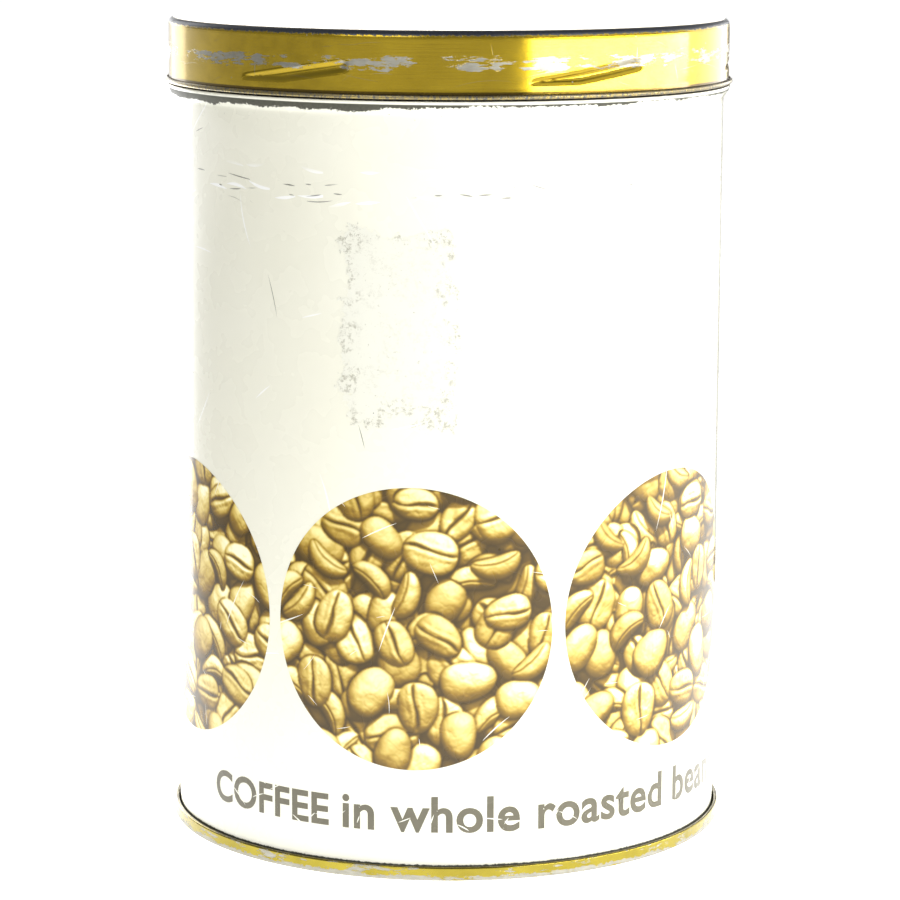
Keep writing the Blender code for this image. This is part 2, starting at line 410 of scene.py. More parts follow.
body = turned("tin_body", body_profile, BODY_SIDES)
face_outwards(body, 100 * MM)
places = points_of(body)
ribs = thread_depth(places, RIB_LIFT, 0.0) * (places[:, 2] > BEAD_Z + 1.2 * MM)
ribs *= radius_of(places) > NECK_R - 0.1 * MM
past_seam = angle_of(places) - SEAM_ANGLE
lap = 1.0 - smooth(2.2 * MM, 3.0 * MM, np.abs(past_seam) * WALL_R)
lap *= np.where(past_seam > 0.0, 1.0, 0.45)
lap *= smooth(HOOK_Z + 1.2 * MM, 6.0 * MM, places[:, 2])
lap *= 1.0 - smooth(BEAD_Z - 8.0 * MM, BEAD_Z - 5.0 * MM, places[:, 2])
reach = 1.0 + (ribs * RIB_DEPTH + lap * LAP_STEP) / radius_of(places)
places[:, :2] *= reach[:, None]
put_points(body, places)
wrap_map(body)


def emboss(shader, height, distance, strength):
    """Feed the shader's normal from a height, by a Bump node."""
    inputs = {"Height": height, "Distance": distance, "Strength": strength}
    feed(shader, "Normal", node(shader.id_data, "ShaderNodeBump", inputs=inputs).outputs[0])


def times(first, second):
    return math_of('MULTIPLY', first, second)


def plus(first, second):
    return math_of('ADD', first, second)


def minus(first, second):
    return math_of('SUBTRACT', first, second)


def either(first, *others):
    """The largest of several masks."""
    for other in others:
        first = math_of('MAXIMUM', first, other)
    return first


def scaled_by(value, factor, offset):
    """value x factor + offset."""
    return math_of('MULTIPLY_ADD', value, factor, offset)


def noise_of(vector, scale, detail=2.0, roughness=0.5):
    """A Noise texture's value."""
    inputs = {"Vector": vector, "Scale": scale, "Detail": detail, "Roughness": roughness}
    return node(vector.id_data, "ShaderNodeTexNoise", inputs=inputs).outputs[0]


def mix_of(amount, first, second):
    """A colour between two, by amount."""
    made = node(amount.id_data, "ShaderNodeMix", data_type='RGBA', inputs={0: amount, 6: first, 7: second})
    return made.outputs[2]


def new_group(name, takes, gives):
    """An empty node group that takes a vector and these values, with these outputs."""
    tree = bpy.data.node_groups.new(name, "ShaderNodeTree")
    tree.interface.new_socket(name="Vector", in_out='INPUT', socket_type='NodeSocketVector')
    for title in takes:
        tree.interface.new_socket(name=title, in_out='INPUT', socket_type='NodeSocketFloat')
    for title, kind in gives:
        tree.interface.new_socket(name=title, in_out='OUTPUT', socket_type=kind)
    return tree, tree.nodes.new("NodeGroupInput"), tree.nodes.new("NodeGroupOutput")


def scratch_group():
    """Separate fine scratches, at most one to a cell, each tapered, slightly bowed, its own way."""
    takes = ("Cell", "Length", "Width", "Lean", "Spread", "Share")
    tree, given, out = new_group("fine_scratches", takes, [("Mask", 'NodeSocketFloat')])
    cell = given.outputs["Cell"]
    per_cell = math_of('DIVIDE', 1.0, cell)
    scaled = vector_of('SCALE', given.outputs["Vector"], Scale=per_cell)
    cell_id = vector_of('FLOOR', scaled)
    other_id = vector_of('ADD', cell_id, (17, 5, 3))
    inside = vector_of('SUBTRACT', scaled, cell_id)
    chance = []
    for source in (cell_id, other_id):
        draw = node(tree, "ShaderNodeTexWhiteNoise", inputs={"Vector": source}).outputs["Color"]
        parts = node(tree, "ShaderNodeSeparateColor", inputs={0: draw})
        chance += [parts.outputs[0], parts.outputs[1], parts.outputs[2]]
    local = node(tree, "ShaderNodeSeparateXYZ", inputs={0: inside})
    shift_x = scaled_by(chance[1], 0.4, 0.3)
    shift_y = scaled_by(chance[2], 0.6, 0.2)
    x = minus(local.outputs[0], shift_x)
    y = minus(local.outputs[1], shift_y)
    swing = times(minus(chance[0], 0.5), given.outputs["Spread"])
    angle = math_of('RADIANS', plus(given.outputs["Lean"], swing))
    sine, cosine = math_of('SINE', angle), math_of('COSINE', angle)
    along = plus(times(x, cosine), times(y, sine))
    across = minus(times(y, cosine), times(x, sine))
    bow = times(times(along, along), scaled_by(chance[3], 0.7, -0.35))
    across = math_of('ABSOLUTE', plus(across, bow))
    length = times(given.outputs["Length"], scaled_by(chance[4], 0.7, 0.3))
    reach = math_of('DIVIDE', along, length)
    taper = minus(1.0, times(times(reach, reach), 4.0))
    half = times(math_of('DIVIDE', given.outputs["Width"], cell), taper)
    line = math_of('LESS_THAN', across, half)
    drawn = math_of('LESS_THAN', chance[5], given.outputs["Share"])
    tree.links.new(times(line, drawn), out.inputs["Mask"])
    return tree


def scratches_of(vector, cell, length, width, lean, spread, share):
    """One layer of scratches; sizes in millimetres, length in cells, angles in degrees."""
    inputs = {"Vector": vector, "Cell": cell, "Length": length, "Width": width, "Lean": lean,
              "Spread": spread, "Share": share}
    return node(vector.id_data, "ShaderNodeGroup", node_tree=scratches, inputs=inputs).outputs["Mask"]


def flat_millimetres(tree):
    """The wall laid flat, in millimetres: round the axis, height, nothing."""
    uv = node(tree, "ShaderNodeUVMap", uv_map="wall")
    return vector_of('SCALE', uv.outputs[0], Scale=UV_UNIT / MM)


def height_millimetres(tree):
    """Height above the floor in millimetres, from the piece's own coordinates."""
    place = own_place(tree)
    height = node(tree, "ShaderNodeSeparateXYZ", inputs={0: place}).outputs["Z"]
    return times(height, 1000.0)


def reach_of(place, unit):
    """Distance from the axis, in so many units to the metre."""
    level = vector_of('MULTIPLY', place, (unit, unit, 0.0))
    length = node(place.id_data, "ShaderNodeVectorMath", operation='LENGTH', inputs={0: level})
    return length.outputs["Value"]


def window_of(value, low, high, edge):
    """1 where the value lies between low and high, with a soft edge."""
    rising = step_of(value, low - edge, low + edge)
    falling = step_of(value, high - edge, high + edge, 1.0, 0.0)
    return times(rising, falling)


def varnish_haze(flat):
    """Roughness of the varnish over the enamel and the printing inks."""
    return step_of(noise_of(flat, 0.12, 2.0, 0.6), 0.3, 0.8, 0.25, 0.32)


scratches = scratch_group()

enamel, tree, shader = new_material("cream_enamel", 0.3)
flat = flat_millimetres(tree)
parts = node(tree, "ShaderNodeSeparateXYZ", inputs={0: flat})
around, height = parts.outputs[0], parts.outputs[1]
ragged = noise_of(flat, 1.3, 6.0, 0.7)
patchy = noise_of(flat, 0.16, 3.0)

# worn tin under the bead, with a ragged lower edge
drop = scaled_by(ragged, 2.4, -1.2)
sway = scaled_by(noise_of(flat, 0.07, 2.0), 3.8, -1.9)
sway = plus(sway, step_of(around, -35.0, 15.0, 0.35, -0.75))
bead_line = plus(height, plus(drop, sway))
bead_wear = step_of(bead_line, BEAD_Z / MM - 1.62, BEAD_Z / MM - 1.42)
bead_top = step_of(height, BEAD_Z / MM - 0.42, BEAD_Z / MM - 0.22, 1.0, 0.0)
bead_wear = times(bead_wear, bead_top)
stray = step_of(noise_of(flat, 0.8, 5.0, 0.75), 0.655, 0.675)
stray = times(stray, window_of(height, BEAD_Z / MM - 4.5, BEAD_Z / MM, 1.0))
# At the foot, just above the base seam, a ragged band of bare tin painted dark: worn tin, and painted
# shade where the wall meets the seam.
foot_line = minus(height, times(drop, 0.4))
foot_wear_and_shade = step_of(foot_line, 3.20, 3.40, 1.0, 0.0)
past_seam = minus(around, SEAM_ANGLE * WALL_R / MM)
past_seam = plus(past_seam, times(drop, 0.12))
bare_seam = window_of(past_seam, -3.1, 3.1, 0.12)
bare = either(bead_wear, stray, foot_wear_and_shade)

# scratches, thickest in a band below the bead
band = window_of(height, 149.5, 157.0, 1.0)
squashed = vector_of('MULTIPLY', flat, (1.0, 2.6, 1.0))
dashes = scratches_of(squashed, 5.6, 0.85, 0.36, -3.0, 60.0, 0.60)
dashes = times(dashes, step_of(noise_of(flat, 0.05, 2.0), 0.46, 0.50))
dashes = times(dashes, window_of(height, 151.2, 154.0, 0.4))
fine = times(scratches_of(flat, 8.0, 1.2, 0.12, 2.0, 50.0, 0.6), band)
stray_lines = scratches_of(flat, 29.0, 0.40, 0.09, -30.0, 120.0, 0.38)
dark_lines = either(dashes, fine, stray_lines)
streaks = times(scratches_of(flat, 7.0, 1.3, 0.36, 3.0, 34.0, 0.9), band)
pale_lines = either(streaks, scratches_of(flat, 19.0, 0.8, 0.16, -20.0, 150.0, 0.5))
fleck_field = node(tree, "ShaderNodeTexVoronoi", inputs={"Vector": flat, "Scale": 0.12})
fleck_size = step_of(patchy, 0.45, 0.75, 0.012, 0.045)
flecks = math_of('LESS_THAN', fleck_field.outputs["Distance"], fleck_size)

# rough residue of an old paper label
fray = noise_of(flat, 0.16, 7.0, 0.7)
other_place = vector_of('ADD', flat, (90.0, 40.0, 0.0))
label_across = plus(around, scaled_by(fray, 17.0, -8.5))
label_up = plus(height, scaled_by(noise_of(other_place, 0.16, 7.0, 0.7), 17.0, -8.5))
label = times(window_of(label_across, -23.0, 2.2, 0.4), window_of(label_up, 102.0, 144.0, 0.4))
core_up = window_of(label_up, 105.0, 141.5, 1.0)
label_core = times(window_of(label_across, -20.5, -0.5, 1.0), core_up)
crumb_field = noise_of(flat, 1.5, 6.0, 0.75)
crumbs = step_of(noise_of(flat, 0.7, 8.0, 0.85), 0.515, 0.545)
crumbs = times(crumbs, step_of(noise_of(flat, 0.20, 3.0), 0.42, 0.54))
glue = times(minus(label, times(label_core, 0.78)), crumbs)
pimples = times(label, step_of(noise_of(other_place, 0.9, 7.0, 0.8), 0.61, 0.64))
glue = either(glue, pimples)

cream = mix_of(noise_of(flat, 0.03, 2.0), (0.78, 0.765, 0.63, 1), (0.835, 0.825, 0.71, 1))
cream = mix_of(times(label, 0.30), cream, (0.66, 0.67, 0.64, 1))
cream = mix_of(times(glue, 0.62), cream, (0.26, 0.24, 0.16, 1))
cream = mix_of(times(pale_lines, 0.85), cream, (0.96, 0.96, 0.94, 1))
marks = either(dark_lines, flecks)
cream = mix_of(times(marks, 0.85), cream, (0.09, 0.085, 0.07, 1))
tarnish = noise_of(flat, 1.5, 5.0, 0.7)
# Very dark tin where the enamel is worn off; at the foot of the wall this dark tone is also painted shade.
dull_tin_and_shade = mix_of(tarnish, (0.012, 0.013, 0.008, 1), (0.10, 0.098, 0.065, 1))
shine = noise_of(flat, 1.2, 5.0, 0.7)
bright_tin = mix_of(shine, (0.30, 0.30, 0.28, 1), (0.55, 0.54, 0.50, 1))
painted = mix_of(bare, cream, dull_tin_and_shade)
feed(shader, "Base Color", mix_of(bare_seam, painted, bright_tin))
metal = either(times(bare, 0.12), times(bare_seam, 0.95))
feed(shader, "Metallic", metal)
rough = plus(varnish_haze(flat), times(label, 0.28))
rough = plus(rough, times(bare, 0.30))
feed(shader, "Roughness", rough)
unvarnished = either(bare, bare_seam, label)
varnish = minus(0.8, times(unvarnished, 0.8))
feed(shader, "Coat Weight", varnish)
shader.inputs["Coat Roughness"].default_value = 0.06
relief = times(noise_of(flat, 0.03, 1.0), 0.4)
relief = minus(relief, times(either(marks, pale_lines), 0.02))
relief = minus(relief, times(bare, 0.05))
relief = plus(relief, times(times(label, crumb_field), 0.14))
emboss(shader, relief, 0.001, 0.6)

tinplate, tree, shader = new_material("bare_tinplate", 0.32, 1.0)
metal_place = own_place(tree)
spangle = noise_of(metal_place, 160.0, 5.0, 0.6)
tin_tone = mix_of(spangle, (0.42, 0.41, 0.38, 1), (0.66, 0.65, 0.61, 1))
feed(shader, "Base Color", tin_tone)
feed(shader, "Roughness", step_of(spangle, 0.3, 0.7, 0.26, 0.42))
rolling = node(tree, "ShaderNodeMapping", inputs={"Vector": metal_place, "Scale": (1.0, 1.0, 30.0)})
grain = noise_of(rolling.outputs[0], 60.0, 3.0)
emboss(shader, grain, 0.0001, 0.3)

body.data.materials.append(enamel)
body.data.materials.append(tinplate)
thicken(body, 1)
neck_faces = [f for f in body.data.polygons if f.center.z > BEAD_Z + 0.35 * MM]
for face in neck_faces:
    face.material_index = 1
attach(body, "tin")
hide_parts("body_shell")

# ---------------------------------------------------------------- printed roundels
# Six discs of printed roast beans round the lower wall, each about 63 mm across. They are
# ink under the varnish, so each is a very thin skin on the wall, coloured point by point.
ROUNDEL_R = 31.7
ROUNDEL_Z = 56.6 * MM
ROUNDEL_ANGLE = math.radians(-7.1)
INK_PROUD = 0.03 * MM
GRID = 298
ROUNDELS = 6
FIRST_SEED = 11


def heap_of_beans(seed, size, step):
    """Height of a heap of beans over a square, in millimetres, and each bean's own tint."""
    rng = np.random.default_rng(seed)
    line = np.linspace(-size, size, int(2 * size / step))
    x, y = np.meshgrid(line, line)
    top = np.full_like(x, -2.5)
    shade = np.zeros_like(x)
    ragged = rough_field(rng, x.shape, 9)
    layers = ((500, 0.45, -1.2, 0.4, 400), (900, 0.20, 1.6, 2.6, 46), (2200, 0.035, 4.2, 5.6, 34))
    for tries, most_overlap, low, high, most in layers:
        layer = np.zeros(x.shape, dtype=bool)
        laid = 0
        for _ in range(tries):
            spot = rng.uniform(-size - 2, size + 2, 2)
            turn = rng.uniform(0, math.tau)
            half = rng.uniform(5.1, 6.3)
            kind = rng.choice(["face", "back", "side"], p=[0.38, 0.34, 0.28])
            wide = half * {"face": 0.76, "back": 0.74, "side": 0.47}[kind] * rng.uniform(0.92, 1.10)
            arch = {"face": 2.3, "back": 3.9, "side": 3.3}[kind]
            sag = rng.uniform(0.03, 0.07) if kind == "side" else rng.uniform(-0.012, 0.012)
            egg = rng.uniform(-0.18, 0.18)
            lean = rng.uniform(-0.20, 0.20, 2)
            base = rng.uniform(low, high)
            tint = rng.uniform(-1.0, 1.0)
            wave = rng.uniform(-0.6, 0.6)
            curl = rng.uniform(0.2, 0.8) * rng.choice([-1.0, 1.0])
            gape = rng.uniform(0.16, 0.34)
            rows = np.abs(line - spot[1]) < 8.5
            columns = np.abs(line - spot[0]) < 8.5
            if laid >= most or not rows.any() or not columns.any():
                continue
            window = np.ix_(rows, columns)
            dx = x[window] - spot[0]
            dy = y[window] - spot[1]
            u = dx * math.cos(turn) + dy * math.sin(turn)
            v = -dx * math.sin(turn) + dy * math.cos(turn) - sag * u * u + sag * 8.0
            edge = (np.abs(u) / half) ** 2.25 + (np.abs(v) / (wide * (1 + egg * u / half))) ** 2.25
            inside = edge < 1.0 + 0.03 * ragged[window]
            if (layer[window] & inside).sum() > most_overlap * inside.sum():
                continue
            laid += 1
            layer[window] |= inside
            dome = arch * np.sqrt(np.clip(1.0 - edge, 0.0, 1.0))
            if kind == "face":
                dome = arch * np.clip(1.0 - edge ** 1.7, 0.0, 1.0) ** 0.55
                split = v - wave - curl * np.sin(u / half * 2.4) - 0.10 * ragged[window]
                fade = np.clip(1.3 - (np.abs(u) / half) ** 4 * 1.2, 0.0, 1.0)
                width = gape * (1.0 + 0.5 * np.cos(u / half * 3.1 + wave * 4))
                dome -= 1.5 * np.exp(-(split / width) ** 2) * fade
                dome += 0.26 * np.exp(-((split - 0.95) / 0.55) ** 2) * fade
                dome += 0.22 * np.exp(-((split + 1.00) / 0.55) ** 2) * fade
                dome -= 0.10 * np.exp(-((split - 1.9) / 0.25) ** 2) * fade * np.sin(u * 1.3) ** 2
            elif kind == "side":
                split = v - 0.36 * wide - 0.08 * ragged[window]
                dome -= 0.8 * np.exp(-(split / 0.20) ** 2)
                dome -= 0.45 * np.clip(split, 0.0, None)
            total = base + dome + lean[0] * u + lean[1] * v
            top[window] = np.where(inside, total, top[window])
            shade[window] = np.where(inside, tint, shade[window])
    return line, top, shade


def blurred(field, reach):
    """The field averaged over a square reach points each way, twice."""
    for _ in range(2):
        for axis in (0, 1):
            pad = [(reach + 1, reach) if a == axis else (0, 0) for a in (0, 1)]
            total = np.cumsum(np.pad(field, pad, mode='edge'), axis=axis)
            ahead = np.take(total, range(2 * reach + 1, total.shape[axis]), axis=axis)
            behind = np.take(total, range(0, total.shape[axis] - 2 * reach - 1), axis=axis)
            field = (ahead - behind) / (2 * reach + 1)
    return field


def rough_field(rng, shape, cell):
    """Soft random field with lumps about so many points across."""
    coarse = rng.standard_normal((shape[0] // cell + 3, shape[1] // cell + 3))
    grown = np.kron(coarse, np.ones((cell, cell)))[:shape[0], :shape[1]]
    return blurred(grown, cell // 2)


def bean_colours(seed, step=0.14):
    """Ink colours of one heap of beans, lit from above, as a square picture in linear light."""
    line, top, shade = heap_of_beans(seed, ROUNDEL_R + 0.5, step)
    rng = np.random.default_rng(seed + 1000)
    on_bean = top > -2.4
    pits = rough_field(rng, top.shape, 3) * 0.035 + rough_field(rng, top.shape, 6) * 0.06
    lumps = rough_field(rng, top.shape, 12) * 0.22
    crinkle = np.abs(rough_field(rng, top.shape, 9))
    surface = top + on_bean * (pits + lumps - 0.10 * np.exp(-(crinkle / 0.06) ** 2))
    slope_y, slope_x = np.gradient(surface, step)
    slope_x, slope_y = np.clip(slope_x, -3, 3), np.clip(slope_y, -3, 3)
    length = np.sqrt(slope_x ** 2 + slope_y ** 2 + 1.0)
    lit = np.clip((-slope_x * 0.16 - slope_y * 0.60 + 0.78) / length, 0.0, 1.0)
    cast = np.zeros_like(top)
    for reach in range(2, 30, 2):
        above = np.roll(top, (-reach, -reach // 4), axis=(0, 1))
        cast = np.maximum(cast, above - top - reach * step * 1.3)
    shadow = 1.0 - 0.62 * np.clip(cast / 0.5, 0.0, 1.0)
    wide_gap = np.clip(blurred(top, 10) - top - 0.4, 0.0, None)
    near_gap = np.clip(blurred(surface, 2) - surface, 0.0, None)
    open_sky = np.exp(-0.42 * wide_gap) * np.exp(-1.5 * near_gap)
    tone = (0.20 + 0.80 * lit ** 1.5) * shadow * open_sky * (1.0 + 0.13 * shade)
    tone = np.clip(0.92 * blurred(tone, 1) + 0.08 * tone, 0.0, 1.0)
    stops = (0.0, 0.14, 0.34, 0.55, 0.74, 0.88, 1.0)
    red = np.interp(tone, stops, (0.33, 0.42, 0.62, 0.80, 0.91, 0.965, 0.99))
    green = np.interp(tone, stops, (0.27, 0.34, 0.505, 0.70, 0.835, 0.92, 0.97))
    blue = np.interp(tone, stops, (0.09, 0.13, 0.19, 0.38, 0.55, 0.70, 0.86))
    picture = np.stack([red, green, blue], axis=-1)
    return line, picture ** 2.75


def sample(line, picture, x, y):
    """Picture colours at points x, y, between its own points."""
    step = line[1] - line[0]
    column = np.clip((x - line[0]) / step, 0, len(line) - 1.001)
    row = np.clip((y - line[0]) / step, 0, len(line) - 1.001)
    i, j = row.astype(int), column.astype(int)
    s, t = (row - i)[:, None], (column - j)[:, None]
    upper = picture[i, j] * (1 - t) + picture[i, j + 1] * t
    lower = picture[i + 1, j] * (1 - t) + picture[i + 1, j + 1] * t
    return upper * (1 - s) + lower * s


def under_varnish(shader, flat):
    """The gloss that both printing inks have under the tin's varnish."""
    feed(shader, "Roughness", varnish_haze(flat))
    shader.inputs["Coat Weight"].default_value = 0.4
    shader.inputs["Coat Roughness"].default_value = 0.06
    shader.inputs["Specular IOR Level"].default_value = 0.3


ink, tree, shader = new_material("roast_bean_print", 0.3)
flat = flat_millimetres(tree)
printed = node(tree, "ShaderNodeVertexColor", layer_name="print").outputs["Color"]
nicks = scratches_of(flat, 23.0, 0.8, 0.16, 48.0, 60.0, 0.45)
nicks = either(nicks, scratches_of(flat, 9.0, 0.7, 0.07, -25.0, 160.0, 0.30))
feed(shader, "Base Color", mix_of(times(nicks, 0.85), printed, (0.90, 0.88, 0.78, 1)))
under_varnish(shader, flat)
dents = noise_of(flat, 0.03, 1.0)
emboss(shader, times(dents, 0.4), 0.001, 0.6)

for number in range(ROUNDELS):
    bpy.ops.object.select_all(action='DESELECT')
    bpy.ops.mesh.primitive_grid_add(x_subdivisions=GRID, y_subdivisions=GRID, size=2.0)
    roundel = bpy.context.object
    roundel.name = f"print_roundel_{number + 1}"
    places = points_of(roundel)
    u, v = places[:, 0].copy(), places[:, 1].copy()
    disc_x = u * np.sqrt(1.0 - v * v / 2.0) * ROUNDEL_R
    disc_y = v * np.sqrt(1.0 - u * u / 2.0) * ROUNDEL_R
    centre = ROUNDEL_ANGLE + number * math.tau / ROUNDELS
    angle = centre + disc_x * MM / WALL_R
    put_points(roundel, round_axis(angle, WALL_R + INK_PROUD, ROUNDEL_Z + disc_y * MM))
    line, picture = bean_colours(FIRST_SEED + number)
    colours = np.ones((len(places), 4))
    colours[:, :3] = sample(line, picture, disc_x, disc_y)
    layer = roundel.data.color_attributes.new(name="print", type='FLOAT_COLOR', domain='POINT')
    layer.data.foreach_set("color", colours.ravel())
    wrap_map(roundel)
    roundel.data.materials.append(ink)
    bpy.ops.object.shade_smooth()
    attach(roundel, "tin")

# ---------------------------------------------------------------- lettering
# A line of plain grey words round the foot of the wall, printed like the roundels. It says
# only what such a tin holds, once in front and once more on both sides of the side seam.
LETTER_Z = 11.0 * MM
FRONT_GAP = math.radians(-23.0)
CAPITALS = 9.9 * MM
SMALL_LETTERS = 11.3 * MM
WORDS = (
    ("COFFEE", 'RIGHT', CAPITALS, FRONT_GAP - math.radians(1.3)),
    ("in whole roasted beans", 'LEFT', SMALL_LETTERS, FRONT_GAP + math.radians(1.3)),
    ("COFFEE", 'RIGHT', CAPITALS, SEAM_ANGLE - math.radians(4.6)),
    ("in whole beans", 'LEFT', SMALL_LETTERS, SEAM_ANGLE + math.radians(4.6)),
)

letter_ink, tree, shader = new_material("warm_grey_print", 0.3)
flat = flat_millimetres(tree)
nicks = scratches_of(flat, 5.5, 0.9, 0.11, 50.0, 60.0, 0.45)
nicks = either(nicks, scratches_of(flat, 8.0, 0.9, 0.14, -20.0, 80.0, 0.35))
nicks = either(nicks, step_of(noise_of(flat, 0.9, 5.0, 0.7), 0.68, 0.71))
shade = mix_of(noise_of(flat, 0.4, 3.0), (0.105, 0.095, 0.060, 1), (0.150, 0.138, 0.095, 1))
feed(shader, "Base Color", mix_of(nicks, shade, (0.86, 0.85, 0.75, 1)))
under_varnish(shader, flat)

def slices(axis, low, high, count):
    """Cut the mesh in edit mode into even slices along an axis, and join doubled points."""
    normal = [float(i == axis) for i in range(3)]
    for i in range(1, count):
        cut = low + (high - low) * i / count
        bpy.ops.mesh.select_all(action='SELECT')
        bpy.ops.mesh.bisect(plane_co=[cut * n for n in normal], plane_no=normal)
    bpy.ops.mesh.select_all(action='SELECT')
    bpy.ops.mesh.remove_doubles(threshold=0.000005)


for number, (text, align, size, start) in enumerate(WORDS):
    bpy.ops.object.select_all(action='DESELECT')
    bpy.ops.object.text_add()
    words = bpy.context.object
    words.name = f"foot_lettering_{number + 1}"
    words.data.body = text
    words.data.size = size
    words.data.align_x = align
    words.data.space_character = 1.04
    words.data.offset = 0.00025
    words.data.resolution_u = 6
    bpy.ops.object.convert(target='MESH')
    words = bpy.context.object
    low = min(v.co.x for v in words.data.vertices)
    high = max(v.co.x for v in words.data.vertices)
    bpy.ops.object.mode_set(mode='EDIT')
    slices(0, low, high, int((high - low) / (1.5 * MM)))
    bpy.ops.object.mode_set(mode='OBJECT')
    places = points_of(words)
    angle = start + places[:, 0] / WALL_R
    put_points(words, round_axis(angle, WALL_R + INK_PROUD, LETTER_Z + places[:, 1]))
    words.data.materials.clear()
    words.data.materials.append(letter_ink)
    wrap_map(words)
    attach(words, "tin")

# ---------------------------------------------------------------- lid
# One pressed shell of gold lacquered tinplate: flat top, rounded corner, skirt with six
# inclined lugs pushed inwards, and the raw edge curled outwards.
LID_SIDES = 640
LID_CORNER = 1.5 * MM
CURL_TUBE_R = 0.55 * MM
curl_z = lid_low[2] + CURL_TUBE_R
corner_r = SKIRT_R - LID_CORNER
lid_profile = [(12 * MM, LID_TOP), (36 * MM, LID_TOP), (56 * MM, LID_TOP), (61.5 * MM, LID_TOP)]
lid_profile += bend(corner_r, LID_TOP - LID_CORNER, LID_CORNER, 90, 0, 9)
lid_profile += climb(SKIRT_R, 181.8 * MM, LID_TOP - LID_CORNER - 0.7 * MM, 4)
lid_profile += climb(SKIRT_R, 175.2 * MM, 181.6 * MM, 28)
lid_profile += bend(SKIRT_R + CURL_TUBE_R - PLATE, curl_z, CURL_TUBE_R - PLATE, 180, 440, 14)

lid = turned("lid", lid_profile, LID_SIDES, 'TRIFAN')
face_outwards(lid, 180 * MM)
places = points_of(lid)
on_skirt = (places[:, 2] > curl_z + 1.0 * MM) & (places[:, 2] < LID_TOP - LID_CORNER)
press = thread_depth(places, 0.0, LUG_FLOOR) * on_skirt * LUG_DEPTH
shrink = 1.0 - press / np.maximum(radius_of(places), 1e-6)
places[:, :2] *= shrink[:, None]
put_points(lid, places)
wrap_map(lid)


def tin_wear_group():
    """Bare tin showing through lacquer: mask of worn patches and hairlines, and the tin's tone."""
    gives = [("Mask", 'NodeSocketFloat'), ("Tin", 'NodeSocketColor')]
    tree, given, out = new_group("lacquer_wear", ["Amount"], gives)
    place = given.outputs["Vector"]
    streaked = vector_of('MULTIPLY', place, (0.22, 1.0, 1.0))
    patch = noise_of(streaked, 0.75, 7.0, 0.72)
    cloud = noise_of(place, 0.11, 2.0)
    patch = plus(patch, scaled_by(cloud, 0.36, -0.18))
    limit = minus(0.85, times(given.outputs["Amount"], 0.345))
    worn = step_of(minus(patch, limit), 0.0, 0.03)
    hair = scratches_of(place, 13.0, 1.1, 0.07, 2.0, 24.0, 0.75)
    hair = either(hair, scratches_of(place, 6.0, 0.9, 0.055, 10.0, 60.0, 0.40))
    hair = either(hair, scratches_of(place, 17.0, 0.4, 0.12, 85.0, 60.0, 0.40))
    cells = node(tree, "ShaderNodeTexVoronoi", inputs={"Vector": place, "Scale": 0.35})
    pits = math_of('LESS_THAN', cells.outputs["Distance"], 0.06)
    pits = times(pits, math_of('GREATER_THAN', cloud, 0.55))
    seen = scaled_by(given.outputs["Amount"], 0.55, 0.2)
    mask = either(worn, times(hair, seen), times(pits, 0.8))
    stain = noise_of(streaked, 1.8, 5.0, 0.75)
    tone = mix_of(stain, (0.17, 0.165, 0.14, 1), (0.52, 0.50, 0.42, 1))
    tree.links.new(mask, out.inputs["Mask"])
    tree.links.new(tone, out.inputs["Tin"])
    return tree


lacquer_wear = tin_wear_group()


def gold_lacquer(name, gold_low, gold_high, edge_masks):
    """Gold lacquer on tinplate; edge_masks draws its worn zone, its dark corners of worn tin painted dark
    as shade, and dark brown lines of painted shade, with dirt specks on the lid.
    """
    material, tree, shader = new_material(name, 0.3, 1.0)
    flat = flat_millimetres(tree)
    zone, corner, shade_and_dirt = edge_masks(flat, height_millimetres(tree))
    wear = node(tree, "ShaderNodeGroup", node_tree=lacquer_wear)
    tree.links.new(flat, wear.inputs["Vector"])
    tree.links.new(zone, wear.inputs["Amount"])
    mask = either(wear.outputs["Mask"], corner)
    gold = mix_of(noise_of(flat, 0.10, 3.0), gold_low, gold_high)
    tarnish = noise_of(flat, 1.6, 5.0, 0.7)
    # Where the corner masks lie, the bare tin is painted very dark: worn tin, darkened as painted shade.
    worn_tin_in_shade = mix_of(tarnish, (0.030, 0.034, 0.045, 1), (0.13, 0.135, 0.15, 1))
    tin = mix_of(corner, wear.outputs["Tin"], worn_tin_in_shade)
    worn_gold = mix_of(mask, gold, tin)
    # Dark brown lines of painted shade in the creases, and specks of dirt, over the worn gold.
    feed(shader, "Base Color", mix_of(times(shade_and_dirt, 0.85), worn_gold, (0.045, 0.026, 0.006, 1)))
    sheen = step_of(noise_of(flat, 0.3, 5.0, 0.6), 0.3, 0.75, 0.15, 0.24)
    feed(shader, "Roughness", plus(sheen, times(mask, 0.2)))
    coat = minus(0.25, times(mask, 0.2))
    feed(shader, "Coat Weight", coat)
    shader.inputs["Coat Roughness"].default_value = 0.08
    brushed = node(tree, "ShaderNodeMapping", inputs={"Vector": flat, "Scale": (0.05, 1.0, 1.0)})
    lines = noise_of(brushed.outputs[0], 2.2, 3.0)
    relief = minus(times(lines, 0.02), times(mask, 0.025))
    relief = plus(relief, times(noise_of(flat, 0.06, 2.0), 0.2))
    emboss(shader, relief, 0.001, 0.5)
    return material


